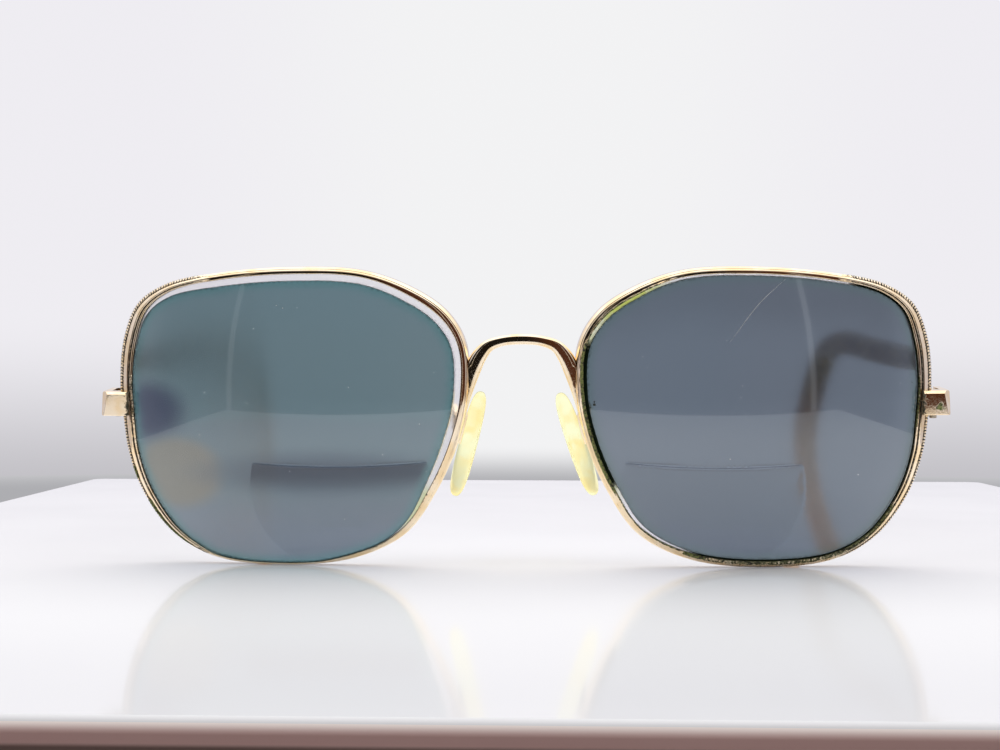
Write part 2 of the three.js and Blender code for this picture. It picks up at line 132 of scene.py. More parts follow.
class Curve:
    """A smooth curve through points, read by its share of the length."""

    FINE = 40  # points on each span
    STEP = 0.0008  # share of the length between the points that give its direction

    def __init__(self, points, closed=False):
        points = [Vector(p) for p in points]
        count = len(points)
        if closed:
            ends = [points[-1], *points, points[0], points[1]]
        else:
            ends = [2 * points[0] - points[1], *points, 2 * points[-1] - points[-2]]
        spans = count if closed else count - 1
        self.points = []
        for i in range(spans):
            for k in range(self.FINE):
                self.points.append(spline_point(*ends[i : i + 4], k / self.FINE))
        self.points.append(points[0].copy() if closed else points[-1].copy())
        self.lengths = [0]
        for a, b in zip(self.points, self.points[1:]):
            self.lengths.append(self.lengths[-1] + (b - a).length)
        self.length = self.lengths[-1]
        self.closed = closed

    def at(self, share):
        target = (share % 1 if self.closed else min(1, max(0, share))) * self.length
        low = bisect_right(self.lengths, target, hi=len(self.lengths) - 1) - 1
        span = self.lengths[low + 1] - self.lengths[low]
        return self.points[low].lerp(self.points[low + 1], (target - self.lengths[low]) / max(span, 1e-9))

    def along(self, share):
        return (self.at(share + self.STEP) - self.at(share - self.STEP)).normalized()


# ---- Meshes ----


def placed(name, data):
    """An object for this data, in the scene."""
    obj = bpy.data.objects.new(name, data)
    bpy.context.scene.collection.objects.link(obj)
    return obj


def make(name, verts, faces, place, material, marks=None, flat=()):
    """A mesh object. marks are named values, one for each vertex; flat holds the faces that aren't smooth."""
    mesh = bpy.data.meshes.new(name)
    mesh.from_pydata([place @ Vector(v) for v in verts], [], faces)
    mesh.materials.append(material)
    mesh.polygons.foreach_set("use_smooth", [i not in flat for i in range(len(faces))])
    for mark, values in (marks or {}).items():
        mesh.attributes.new(mark, "FLOAT", "POINT").data.foreach_set("value", values)
    mesh.update()
    obj = placed(name, mesh)
    edit(mesh, lambda bm: bmesh.ops.recalc_face_normals(bm, faces=bm.faces))
    return obj


def edit(mesh, change):
    """Changes a mesh by way of a bmesh."""
    bm = bmesh.new()
    bm.from_mesh(mesh)
    change(bm)
    bm.to_mesh(mesh)
    bm.free()


def sharpen(obj, degrees):
    """Marks edges that turn by more than this as sharp."""

    def change(bm):
        for e in bm.edges:
            if len(e.link_faces) == 2 and e.calc_face_angle(0) > math.radians(degrees):
                e.smooth = False

    edit(obj.data, change)


def join_up(obj, body, slot, *nodes):
    """The piece stands for the nodes and rides on the body."""
    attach(obj, body)
    if nodes:
        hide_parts(*nodes)


def tube_faces(rings, around, closed=False):
    """Quads between rings of points, with end caps on an open tube."""
    faces = []
    for i in range(rings if closed else rings - 1):
        for k in range(around):
            a, b = i * around, (i + 1) % rings * around
            faces.append((a + k, a + (k + 1) % around, b + (k + 1) % around, b + k))
    if not closed:
        faces.append(tuple(range(around)))
        faces.append(tuple(reversed(range((rings - 1) * around, rings * around))))
    return faces


def bmesh_of(verts, faces):
    bm = bmesh.new()
    made = [bm.verts.new(v) for v in verts]
    for face in faces:
        bm.faces.new([made[i] for i in face])
    return bm


def lists_of(bm):
    """A bmesh's points and faces."""
    bm.verts.index_update()
    return [v.co.copy() for v in bm.verts], [tuple(v.index for v in f.verts) for f in bm.faces]


def ring_points(rings, ring_at):
    """The points of all rings. ring_at gives each ring's points from its share of the way along."""
    return [p for i in range(rings) for p in ring_at(i / (rings - 1))]


def rounded_section(thick, tall, squareness, count):
    """Points round a section from an ellipse (1) to nearly a rectangle (near 0)."""
    points = []
    for i in range(count):
        a = i / count * math.tau
        across = math.copysign(abs(math.cos(a)) ** squareness, math.cos(a))
        up = math.copysign(abs(math.sin(a)) ** squareness, math.sin(a))
        points.append((across * thick / 2, up * tall / 2))
    return points


# ---- Material nodes ----


class Nodes:
    """Short ways to add shader nodes to one tree."""

    def __init__(self, tree):
        self.tree = tree

    def add(self, kind, **settings):
        node = self.tree.nodes.new(kind)
        for name, value in settings.items():
            setattr(node, name, value)
        return node

    def put(self, socket, value):
        if isinstance(value, bpy.types.NodeSocket):
            self.tree.links.new(value, socket)
        elif socket.type == "RGBA":
            socket.default_value = (*value, 1)
        else:
            socket.default_value = value

    def fill(self, node, values):
        """Puts each value into the node's input of that name or number."""
        for key, value in values.items():
            self.put(node.inputs[key], value)

    def math(self, operation, a, b=0):
        node = self.add("ShaderNodeMath", operation=operation)
        self.fill(node, {0: a, 1: b})
        return node.outputs[0]

    def times(self, a, b):
        return self.math("MULTIPLY", a, b)

    def plus(self, a, b):
        return self.math("ADD", a, b)

    def ramp(self, value, low, high, to_low=0, to_high=1):
        """A smooth step from one value to another, held at both ends."""
        node = self.add("ShaderNodeMapRange", interpolation_type="SMOOTHSTEP")
        self.fill(node, dict(enumerate((value, low, high, to_low, to_high))))
        return node.outputs[0]

    def blend(self, share, a, b, kind="MIX"):
        node = self.add("ShaderNodeMix", data_type="RGBA", blend_type=kind)
        self.fill(node, {"Factor": share, 6: a, 7: b})
        return node.outputs[2]

    def mark(self, name):
        return self.add("ShaderNodeAttribute", attribute_name=name).outputs["Fac"]

    def place(self, scale=(1, 1, 1)):
        """Object coordinates in millimetres, stretched."""
        mapping = self.add("ShaderNodeMapping")
        coordinates = self.add("ShaderNodeTexCoord").outputs["Object"]
        self.fill(mapping, {"Vector": coordinates, "Scale": [s / MM for s in scale]})
        return mapping.outputs[0]

    def split(self, vector):
        node = self.add("ShaderNodeSeparateXYZ")
        self.put(node.inputs[0], vector)
        return node.outputs

    def noise(self, vector, scale, detail, rough=0.5, warp=0):
        node = self.add("ShaderNodeTexNoise")
        self.fill(node, {"Vector": vector, "Scale": scale, "Detail": detail})
        self.fill(node, {"Roughness": rough, "Distortion": warp})
        return node.outputs["Fac"]

    def bump(self, height, strength, distance):
        node = self.add("ShaderNodeBump")
        self.fill(node, {"Height": height, "Strength": strength, "Distance": distance})
        return node


def new_material(name):
    material = bpy.data.materials.new(name)
    material.use_nodes = True
    nodes = Nodes(material.node_tree)
    shader = next(n for n in material.node_tree.nodes if n.type == "BSDF_PRINCIPLED")
    return material, nodes, shader


GOLD_PALE = (0.97, 0.82, 0.62)
GOLD_WARM = (0.92, 0.71, 0.44)
VERDIGRIS = (0.12, 0.17, 0.03)
# Dark grime, also used as painted shadow on the rims' inner walls.
GRIME_AND_SHADE = (0.035, 0.028, 0.015)
CRYSTAL = (0.42, 0.43, 0.14)


def gold_material(name, marked):
    """Worn gold plate. On marked meshes the crust and the grime follow the mesh's own marks; on the rims'
    inner walls the grime is also painted shadow.
    """
    material, n, shader = new_material(name)
    place = n.place()
    broad = n.noise(place, 0.35, 3)
    fine = n.noise(place, 2.6, 4, 0.6)
    grain = n.noise(place, 9, 2)
    tone = n.blend(n.ramp(broad, 0.38, 0.66), GOLD_PALE, GOLD_WARM)
    crust_mark = n.mark("crust") if marked else 0
    grime_and_shade_mark = n.mark("grime_and_shade") if marked else 0
    crust = n.ramp(n.plus(n.times(fine, 0.9), crust_mark), 0.92, 1.06)
    # Dark specks of grime, and painted shadow where the rims' inner walls are marked.
    specks_and_shade = n.ramp(n.plus(fine, n.times(grime_and_shade_mark, 0.45)), 0.74, 0.9)
    crust_colour = n.blend(n.ramp(grain, 0.35, 0.65), VERDIGRIS, CRYSTAL)
    crust_colour = n.blend(n.ramp(fine, 0.45, 0.6), crust_colour, GRIME_AND_SHADE)
    dirty_and_shaded = n.math("MAXIMUM", crust, specks_and_shade)
    lumps = n.bump(n.times(crust, grain), 0.9, 0.0002)
    n.put(lumps.inputs["Normal"], n.bump(fine, 0.05, 0.00005).outputs[0])
    n.fill(shader, {
        "Base Color": n.blend(crust, n.blend(specks_and_shade, tone, GRIME_AND_SHADE), crust_colour),
        "Metallic": n.math("SUBTRACT", 1, dirty_and_shaded),
        "Roughness": n.plus(n.ramp(grain, 0.3, 0.75, 0.03, 0.1), n.times(dirty_and_shaded, 0.5)),
        "Normal": lumps.outputs[0],
    })
    return material


def steel_material():
    """Dull plated steel, turned, so it has fine rings round its axis."""
    material, n, shader = new_material("screw_steel")
    fine = n.noise(n.place((1, 1, 6)), 5, 3)
    n.fill(shader, {
        "Base Color": n.blend(fine, (0.62, 0.56, 0.46), (0.42, 0.36, 0.27)),
        "Metallic": 1,
        "Roughness": n.ramp(fine, 0.3, 0.7, 0.22, 0.42),
        "Normal": n.bump(fine, 0.25, 0.00003).outputs[0],
    })
    return material


TINT_STEPS = [(12, 20), (28.5, 30.5), (40, 51)]  # heights where each tint passes into the next
HAZE_FROM, HAZE_TO = 38, 46  # how far from the bridge the haze beside the temple sets in
# What the segment mark darkens towards: the segment's own tint, and the painted shade along its top.
SEGMENT_TINT_AND_SHADE = (0, 0.004, 0.02)


def glass_material(name, tints, edge_tint, haze, painted_spots):
    """Tinted glass. Lamps shine through it, coloured, and its front is glossier than what is seen through it.

    tints are its colours from low down to high up. haze is its roughness beside the nose and the temple.
    The last argument holds soft spots of painted colour that stand in for what is seen blurred through the
    glass: middle, reach, softness and tint.
    """
    material, n, shader = new_material(name)
    place = n.place()
    x, _, z = n.split(place)
    wavy = n.plus(z, n.times(n.noise(place, 0.05, 2), 10))
    body = tints[0]
    for tint, (low, high) in zip(tints[1:], TINT_STEPS):
        body = n.blend(n.ramp(wavy, low, high), body, tint)
    # Painted spots: what is seen blurred through the glass, painted into its colour.
    for middle, reach, soft, tint in painted_spots:
        across = n.math("DIVIDE", n.math("SUBTRACT", x, middle[0]), reach[0])
        up = n.math("DIVIDE", n.math("SUBTRACT", z, middle[1]), reach[1])
        out = n.math("SQRT", n.plus(n.times(across, across), n.times(up, up)))
        body = n.blend(n.ramp(out, 1 + soft, 1 - soft), body, tint)
    # The segment's own tint, with the painted shade along its top.
    body = n.blend(n.mark("segment"), body, SEGMENT_TINT_AND_SHADE)
    body = n.blend(n.mark("rim"), body, edge_tint)
    dark_edge = tuple(c * 0.3 for c in edge_tint)
    n.fill(shader, {
        "Base Color": n.blend(n.ramp(n.mark("rim"), 0.8, 1), body, dark_edge),
        "Transmission Weight": 1,
        "IOR": 1.52,
        "Specular IOR Level": 0.1,
        "Roughness": n.ramp(n.math("ABSOLUTE", x), HAZE_FROM, HAZE_TO, *haze),
        "Coat Weight": 0.9,
        "Coat Roughness": 0,
        "Normal": n.bump(n.noise(place, 0.12, 1), 0.04, 0.0002).outputs[0],
    })
    clear = n.add("ShaderNodeBsdfTransparent")
    n.put(clear.inputs["Color"], tuple(c**0.5 for c in tints[2]))
    shadow = n.add("ShaderNodeLightPath").outputs["Is Shadow Ray"]
    mixer = n.add("ShaderNodeMixShader")
    n.fill(mixer, {0: shadow, 1: shader.outputs[0], 2: clear.outputs[0]})
    output = next(m for m in material.node_tree.nodes if m.type == "OUTPUT_MATERIAL")
    n.put(output.inputs["Surface"], mixer.outputs[0])
    return material


def ground_edge_material():
    """The lens's ground edge: frosted glass, dark at places with dirt and painted shadow, green where copper
    salts crept over it.
    """
    material, n, shader = new_material("ground_edge")
    place = n.place()
    fine = n.noise(place, 3, 3)
    stained = n.times(n.mark("stain"), n.ramp(n.noise(place, 0.6, 2), 0.25, 0.5))
    # Dark where grime and painted shadow in the gap are marked.
    dirt_and_shade = n.ramp(n.plus(n.mark("dirt_and_shade"), n.times(fine, 0.4)), 0.45, 0.8)
    base = n.blend(n.ramp(fine, 0.3, 0.7), (1, 0.99, 1), (0.93, 0.92, 0.97))
    base = n.blend(stained, base, (0.62, 0.7, 0.12))
    n.fill(shader, {
        "Base Color": n.blend(dirt_and_shade, base, (0.012, 0.022, 0.012)),
        "Transmission Weight": n.ramp(dirt_and_shade, 0, 1, 0.9, 0),
        "IOR": 1.12,
        "Roughness": n.ramp(fine, 0.3, 0.7, 0.38, 0.5),
        "Normal": n.bump(fine, 0.15, 0.00005).outputs[0],
    })
    return material


def matt_material(name, dark, light):
    """Dry dirt."""
    material, n, shader = new_material(name)
    share = n.ramp(n.noise(n.place(), 4, 2), 0.35, 0.65)
    n.fill(shader, {"Base Color": n.blend(share, dark, light), "Roughness": 0.7})
    return material


def pad_material():
    """Old clear plastic gone yellow, with a frosted skin, and a faint painted glow for the light that gathers
    in it from all round.
    """
    material, n, shader = new_material("pad_plastic")
    place = n.place()
    aged = n.ramp(n.noise(place, 0.22, 2, warp=0.6), 0.36, 0.64)
    fine = n.noise(place, 2.2, 3)
    n.fill(shader, {
        "Base Color": n.blend(aged, (0.95, 0.97, 0.67), (0.98, 0.86, 0.42)),
        # A faint painted glow, standing in for light gathered from all round.
        "Emission Color": n.blend(aged, (1, 1, 0.62), (1, 0.8, 0.34)),
        "Emission Strength": 0.09,
        "Roughness": n.ramp(fine, 0.3, 0.7, 0.16, 0.26),
        "Transmission Weight": 0.95,
        "IOR": 1.01,
        "Normal": n.bump(fine, 0.15, 0.0001).outputs[0],
    })
    return material


def sleeve_material():
    """Tortoise plastic: dark and mottled along the side, which is partly painted shade, thinning to amber
    round the ear.
    """
    material, n, shader = new_material("sleeve_tortoise")
    place = n.place((1, 0.45, 0.45))
    swirl = n.noise(place, 0.28, 3, 0.5, 1.6)
    fine = n.noise(place, 2.4, 3)
    along = n.mark("along")
    dark = n.blend(n.ramp(swirl, 0.36, 0.62), (0.12, 0.085, 0.04), (0.34, 0.25, 0.11))
    amber = n.blend(n.ramp(swirl, 0.38, 0.6), (1, 0.56, 0.36), (1, 0.7, 0.48))
    n.fill(shader, {
        # Dark along the side, its own colour with painted shade, amber round the ear.
        "Base Color": n.blend(n.ramp(along, 0.66, 0.92), dark, amber),
        "Transmission Weight": n.ramp(along, 0.6, 0.92, 0.35, 0.88),
        "Roughness": n.ramp(fine, 0.3, 0.7, 0.16, 0.3),
        "Coat Weight": 0.4,
        "Coat Roughness": 0.08,
        "Normal": n.bump(fine, 0.1, 0.00008).outputs[0],
    })
    return material


GOLD = gold_material("gold_plate", False)
GOLD_CRUSTED = gold_material("gold_plate_crusted", True)
STEEL = steel_material()
PAD_PLASTIC = pad_material()
TORTOISE = sleeve_material()
# Painted into the right lens for what is seen blurred through it: the temple's tan sleeve, a dark painted
# shade beside it, and the backdrop's dark band where it meets the table.
PAINTED_TEMPLE_BLUR = ((-58.3, 15.7), (8, 5.8), 0.24, (0.245, 0.25, 0.222))
PAINTED_TEMPLE_SHADE = ((-63.6, 26), (6.5, 4.6), 0.45, (0.078, 0.1, 0.155))
PAINTED_BACKDROP_BAND = ((-33.5, 15.9), (17.5, 3.2), 0.55, (0.1, 0.142, 0.187))
PAINTED_SEEN_THROUGH = (PAINTED_TEMPLE_SHADE, PAINTED_TEMPLE_BLUR, PAINTED_BACKDROP_BAND)
# The tints of the left and the right lens, from low down to high up.
BLUES = ((0.166, 0.204, 0.257), (0.173, 0.213, 0.267), (0.173, 0.213, 0.267), (0.147, 0.18, 0.226))
TEALS = ((0.214, 0.262, 0.315), (0.174, 0.243, 0.282), (0.178, 0.262, 0.295), (0.176, 0.264, 0.3))
GLASS = {
    "left": glass_material("glass_blue_grey", BLUES, (0.13, 0.19, 0.21), (0.085, 0.085), ()),
    "right": glass_material("glass_teal_grey", TEALS, (0.11, 0.25, 0.27), (0.08, 0.26), PAINTED_SEEN_THROUGH),
}
GROUND = ground_edge_material()
DUST = matt_material("dust", (0.8, 0.8, 0.78), (0.6, 0.6, 0.58))
CRUMB = matt_material("crumb_black", (0.01, 0.012, 0.008), (0.03, 0.03, 0.015))
OLIVE = matt_material("crumb_olive", (0.1, 0.09, 0.015), (0.36, 0.33, 0.1))

# ---- Rims ----

# The outer edge about the middle of the lens: across, up, and how wide the metal is there.
RIM = [
    (30, 0, 2.5), (30.5, 6, 2.7), (29.85, 13.1, 2.75), (27.5, 18.8, 2.4), (22.4, 22.15, 1.75),
    (12, 24.4, 1.45), (-1, 25.35, 1.4), (-11.5, 24.8, 1.45), (-19.4, 22.1, 1.75), (-25.4, 18, 1.8),
    (-28.6, 12.6, 1.7), (-29, 4, 1.65), (-27.3, -4, 1.7), (-23.8, -12, 1.7), (-18.6, -19.3, 1.4),
    (-10, -23.6, 1.2), (3, -25, 1.1), (14.6, -24, 1.3), (21.9, -20, 1.7), (27, -13, 2.1), (29.3, -6, 2.3),
]
RIM_CURVE = Curve(RIM, closed=True)
GLASS_FRONT_R = 80
GLASS_BACK_R = 166
GLASS_THICK = 4.4
LIP = 0.35  # the glass's ground edge starts this far inside the rim's full width
RIM_BACK = -1.65
BEADS_FROM = (12.5, 18.5)  # how far across the beads start and are full


def gold_piece(name, points, faces, place, node, flat=()):
    """A gold piece of the front, from points with their crust and their grime (also painted shadow on the
    rims' inner walls), that stands for one node.
    """
    verts, crust, grime_and_shade = zip(*points)
    piece = make(name, verts, faces, place, GOLD_CRUSTED, {"crust": crust, "grime_and_shade": grime_and_shade}, flat)
    join_up(piece, "front", "gold", node)


class Outline:
    """One place on the rim's outline, with the way inwards, the metal's width and the turn round the eye."""

    def __init__(self, share):
        here = RIM_CURVE.at(share)
        along = RIM_CURVE.along(share)
        self.x, self.z = here.x, here.y
        self.width = here.z - LIP * smooth(here.z, 1.1, 1.6)
        self.inward = Vector((-along.y, along.x)).normalized()
        self.beaded = smooth(self.x, *BEADS_FROM)
        self.turn = math.degrees(math.atan2(self.z, self.x)) % 360

    def inset(self, distance):
        return self.x + self.inward.x * distance, self.z + self.inward.y * distance


# Changes round the outline: the turns in degrees where one starts and is full, the turns where it has ended
# and was last full, and its strength. The right lens sits low, so the metal under it is thinner.
THINNER = {"left": [], "right": [(222, 240, 326, 304, 0.34), (246, 264, 310, 300, 0.4)]}


def strengths(changes, side, turn):
    """How strong each of a side's changes is at one turn."""
    found = [0]
    for low, low_full, high, high_full, strength in changes[side]:
        found.append(strength * smooth(turn, low, low_full) * smooth(turn, high, high_full))
    return found


def metal_width(side, outline):
    return outline.width - sum(strengths(THINNER, side, outline.turn))


def on_dome(x, z, height):
    """A point so far in front of the lens's front surface."""
    return Vector((x, sag(GLASS_FRONT_R + height, math.hypot(x, z)) - height, z))


# The rim's section: share of the width from the outer edge, then height in front of the lens and grime where
# it is beaded, then the same where it is plain.
SECTION = [
    (0.03, 0.12, 0, 0.06, 0), (0.065, 0.2, 0, 0.12, 0), (0.115, 0.25, 0, 0.19, 0),
    (0.17, 0.26, 0, 0.255, 0), (0.2, 0.24, 0.3, 0.29, 0), (0.225, 0.2, 1, 0.315, 0),
    (0.25, 0.24, 0.3, 0.33, 0), (0.29, 0.31, 0, 0.35, 0), (0.315, 0.335, 0, 0.325, 0.75),
    (0.34, 0.35, 0, 0.37, 0), (0.42, 0.385, 0, 0.405, 0), (0.52, 0.41, 0, 0.426, 0),
    (0.6, 0.43, 0, 0.434, 0), (0.65, 0.41, 0, 0.437, 0), (0.68, 0.28, 0.9, 0.439, 0),
    (0.72, 0.17, 1, 0.44, 0), (0.775, 0.17, 1, 0.44, 0), (0.81, 0.26, 0.4, 0.438, 0),
    (0.86, 0.3, 0, 0.43, 0.1), (0.93, 0.27, 0, 0.4, 0.4), (0.975, 0.16, 0.2, 0.3, 0.9),
]
SIDE_WALL = [(0.03, RIM_BACK), (0, RIM_BACK + 0.12), (0, -0.9), (0, -0.25), (0.004, 0)]
# The inner wall, beside the glass, is marked dark: grime and painted shadow in the gap.
INNER_WALL = [(1, -0.05), (1, -0.8), (1, RIM_BACK + 0.1), (0.95, RIM_BACK)]

BEAD_PITCH = 0.52
BEAD_HEIGHT = 0.2
BEAD_BAND = 0.24  # share of the width

# Where crust has grown on each side: turn in degrees, spread, strength, the band's middle as a share of the
# width, and how far the band reaches from there.
CRUST = {
    "left": [
        (150, 40, 0.6, 0.9, 0.2), (182, 34, 0.97, 0.86, 0.4), (222, 28, 0.62, 0.94, 0.2),
        (5, 12, 0.62, 0.98, 0.16), (290, 36, 0.58, 0.78, 0.5), (318, 16, 0.62, 0.85, 0.34),
        (262, 24, 0.56, 0.78, 0.5), (248, 6, 0.75, 0.8, 0.4),
    ],
    "right": [
        (6, 10, 0.5, 0.95, 0.28), (321, 13, 0.9, 0.16, 0.42), (306, 4, 0.5, 0.3, 0.4),
        (341, 3, 0.75, 0.15, 0.3), (212, 22, 0.45, 0.95, 0.28), (232, 14, 0.45, 0.9, 0.28),
        (345, 20, 0.2, 0.95, 0.28),
    ],
}


def crust_at(side, turn, share):
    """How thick the crust is at one place on the rim, from 0 to 1."""
    thickest = 0
    for middle, spread, strength, band, reach in CRUST[side]:
        apart = abs((turn - middle + 180) % 360 - 180)
        near = smooth(apart, spread, spread * 0.6) * smooth(abs(share - band), reach, reach * 0.5)
        thickest = max(thickest, strength * near)
    return thickest


def rim_shares():
    """Shares of the outline's length, close together where it is beaded."""
    shares = []
    share = 0
    while share < 1:
        shares.append(share)
        step = 0.07 if Outline(share).beaded > 0.02 else 0.3
        share += step / RIM_CURVE.length
    return shares


def rim_ring(side, share):
    """One section of the rim, as points with their crust and grime; on the inner wall the grime is also
    painted shadow.
    """
    place = Outline(share)
    width = metal_width(side, place)
    distance = share * RIM_CURVE.length
    bead = BEAD_HEIGHT * abs(math.sin(math.pi * distance / BEAD_PITCH)) ** 0.8 * place.beaded
    ring = []

    def put(band, height, dirt_and_shade):
        wear = crust_at(side, place.turn, band)
        lump = wear * (0.06 + 0.09 * fractal((place.x, place.z, band * 3), 1.7)) if height > -0.1 else 0
        ring.append((on_dome(*place.inset(band * width), height + lump), wear, dirt_and_shade))

    valley = smooth(bead, BEAD_HEIGHT * 0.88, BEAD_HEIGHT * 0.72) * place.beaded
    for band, height in SIDE_WALL:
        put(band - bead / width * smooth(height, -0.5, 0), height, max(0.1, valley))
    for band, beaded_height, beaded_grime, plain_height, plain_grime in SECTION:
        on_bead = smooth(band, BEAD_BAND, BEAD_BAND - 0.04)
        height = mix(plain_height, beaded_height + bead * on_bead, place.beaded)
        put(band, height, max(mix(plain_grime, beaded_grime, place.beaded), valley * on_bead))
    for band, height in INNER_WALL:
        # Grime and painted shadow on the inner wall.
        put(band, height, 0.9)
    return ring


def build_rim(side):
    rings = [rim_ring(side, share) for share in rim_shares()]
    points = [p for ring in rings for p in ring]
    faces = tube_faces(len(rings), len(rings[0]), closed=True)
    gold_piece(side + "_rim_beaded", points, faces, eye_place(side), side + "_rim")


# ---- Lenses ----

SEGMENT_X = {"left": -6.6, "right": -7.9}
SEGMENT_Z = -11.4
SEGMENT_R = 15
SEGMENT_TOP = -6.9
SEGMENT_SAG = 0.55
SEGMENT_LOWEST = -24  # it isn't marked below here, beside the ground edge
ARC_STEPS = 120
TOP_STEPS = 60
LEDGE = 0.04  # how far the segment's top edge stands proud
LOW_LEDGE = 0.2  # the rest of its edge, as a share of that
LEDGE_WIDE = 0.06
INSIDE_DARK = 0.2  # how much darker it is than the lens
PAINTED_BAND_DARK = {"left": 0, "right": 0.68}  # and how much more along its top: painted shade for the backdrop's dark band seen through it
PAINTED_BAND_FADE = (-12.2, -8.6)
# Painted shade along the segment's top edge, where the ledge is.
LEDGE_SHADE_DARK = 0.75


def segment_top(side, x):
    """How high the segment's top edge is: it sags a little in the middle."""
    across = (x - SEGMENT_X[side]) / SEGMENT_R
    return SEGMENT_TOP - SEGMENT_SAG * max(0, 1 - across * across)


def segment_distance(side, x, z):
    """How far a point is outside the reading segment, and how far its rim stands proud there."""
    round_part = math.hypot(x - SEGMENT_X[side], z - SEGMENT_Z) - SEGMENT_R
    flat_part = z - segment_top(side, x)
    proud = LEDGE * (1 if flat_part > round_part else LOW_LEDGE)
    return max(round_part, flat_part), proud


def segment_mark(side, x, z):
    """A little darker inside the segment, its own tint, with painted shade along its top: a band on the right
    lens, and a line on its top edge.
    """
    if z < SEGMENT_LOWEST:
        return 0
    distance, proud = segment_distance(side, x, z)
    dark = INSIDE_DARK + PAINTED_BAND_DARK[side] * smooth(z, *PAINTED_BAND_FADE)
    line = LEDGE_SHADE_DARK * smooth(abs(distance), LEDGE_WIDE * 0.9, LEDGE_WIDE * 0.3) if proud == LEDGE else 0
    return max(dark * smooth(distance, LEDGE_WIDE, -LEDGE_WIDE), line)


def lens_front(side, x, z):
    distance, proud = segment_distance(side, x, z)
    return on_dome(x, z, proud * smooth(distance, LEDGE_WIDE, -LEDGE_WIDE))


def segment_loop(side, grow):
    """The segment's outline as points across and up."""
    reach = SEGMENT_R + grow
    start = math.asin((SEGMENT_TOP - SEGMENT_Z + grow) / reach)
    points = []
    for i in range(ARC_STEPS + 1):
        a = start - (math.pi + 2 * start) * i / ARC_STEPS
        points.append((SEGMENT_X[side] + reach * math.cos(a), SEGMENT_Z + reach * math.sin(a)))
    left, right = points[-1][0], points[0][0]
    for i in range(1, TOP_STEPS):
        x = mix(left, right, i / TOP_STEPS)
        points.append((x, segment_top(side, x) + grow))
    return points


GROUND_DEEP = 2
GROUND_LINE = 0.14  # a dark line of dirt where the ground edge meets the polished glass
GROUND_WIDE = {"left": (0.32, 0.58), "right": (0.1, 1.12)}  # where it shows least and most
GROUND_GAP = 0.02  # to the metal, and a little less to the glass
# Where the ground edge shows most, is clean and unshaded, is dulled and is stained green: changes round the
# outline. Outside the clean turns it is dark with grime and painted shadow.
SHOWN = {"left": [(100, 150, 250, 215, 1)], "right": [(10, 66, 238, 188, 1)]}
CLEAN_AND_UNSHADED = {"left": [(46, 62, 262, 236, 1)], "right": [(4, 16, 250, 232, 1)]}
DULLED = {"left": [(146, 162, 214, 200, 0.72)], "right": []}
STAINED = {
    "left": [(118, 128, 156, 140, 1), (140, 156, 216, 203, 0.6)],
    "right": [(204, 211, 230, 222, 0.6)],
}


def ground_width(side, outline):
    """How wide the lens's ground edge shows: most at the top and beside the nose."""
    shown = max(strengths(SHOWN, side, outline.turn))
    wave = 0.035 * fractal((outline.x, outline.z, 3), 0.8) * shown
    return mix(*GROUND_WIDE[side], shown) + wave


def ground_marks(side, turn):
    """How dark and how stained the ground edge is: black beside the temple and below, which is grime and
    painted shadow in the gap there, green at places.
    """
    clean_and_unshaded, dulled, stained = (max(strengths(c, side, turn)) for c in (CLEAN_AND_UNSHADED, DULLED, STAINED))
    return max(1 - clean_and_unshaded, dulled), stained


LOOP_STEPS = 360
GRID_X, GRID_Z = (-30, 31), (-26, 26)  # the lens lies within these
ROW_STEP = 0.866  # between rows of even triangles, in spacings
FRONT_SPACING, BACK_SPACING = 0.9, 1.6


def lens_sheet(side, loop, spacing, segment):
    """Points and triangles that fill a loop, with the segment's edges kept as edges."""
    points = [Vector(p) for p in loop]
    edges = [(i, (i + 1) % len(loop)) for i in range(len(loop))]
    if segment:
        for grow in (-LEDGE_WIDE, -LEDGE_WIDE / 3, LEDGE_WIDE / 3, LEDGE_WIDE):
            start = len(points)
            ring = segment_loop(side, grow)
            points += [Vector(p) for p in ring]
            edges += [(start + i, start + (i + 1) % len(ring)) for i in range(len(ring))]
    row = 0
    z = GRID_Z[0]
    while z < GRID_Z[1]:
        x = GRID_X[0] + (row % 2) * spacing / 2
        while x < GRID_X[1]:
            points.append(Vector((x, z)))
            x += spacing
        z += spacing * ROW_STEP
        row += 1
    border = list(range(len(loop)))
    points, _, triangles, origins, _, inside = delaunay_2d_cdt(points, edges, [border], 1, 1e-5)
    return points, [tuple(t) for t, within in zip(triangles, inside) if within], origins


def border_of(origins, start):
    """The vertices that stand for the loop's own points, in order."""
    first_of = {}
    for i, origin in enumerate(origins):
        for o in origin:
            first_of[o] = start + i
    return [first_of[i] for i in range(LOOP_STEPS)]


def build_lens(side):
    outlines = [Outline(i / LOOP_STEPS) for i in range(LOOP_STEPS)]
    loop = [o.inset(metal_width(side, o) + ground_width(side, o)) for o in outlines]
    points, faces, origins = lens_sheet(side, loop, FRONT_SPACING, True)
    verts = [lens_front(side, p.x, p.y) for p in points]
    segment = [segment_mark(side, p.x, p.y) for p in points]
    front = border_of(origins, 0)
    points, back_faces, origins = lens_sheet(side, loop, BACK_SPACING, False)
    start = len(verts)
    back = border_of(origins, start)
    for i in range(LOOP_STEPS):
        k = (i + 1) % LOOP_STEPS
        faces.append((front[i], front[k], back[k], back[i]))
    faces += [tuple(start + v for v in face) for face in back_faces]
    verts += [Vector((p.x, GLASS_THICK + sag(GLASS_BACK_R, p.length), p.y)) for p in points]
    marks = {"rim": edge_marks(loop, verts), "segment": segment + [0] * len(points)}
    lens = make(side + "_lens_glass", verts, faces, eye_place(side), GLASS[side], marks)
    sharpen(lens, 25)
    join_up(lens, "front", side + "_glass", side + "_lens", side + "_reading_segment")


EDGE_DEEP = 1.7
FAR_INSIDE = (18, 15)  # within these no edge is near


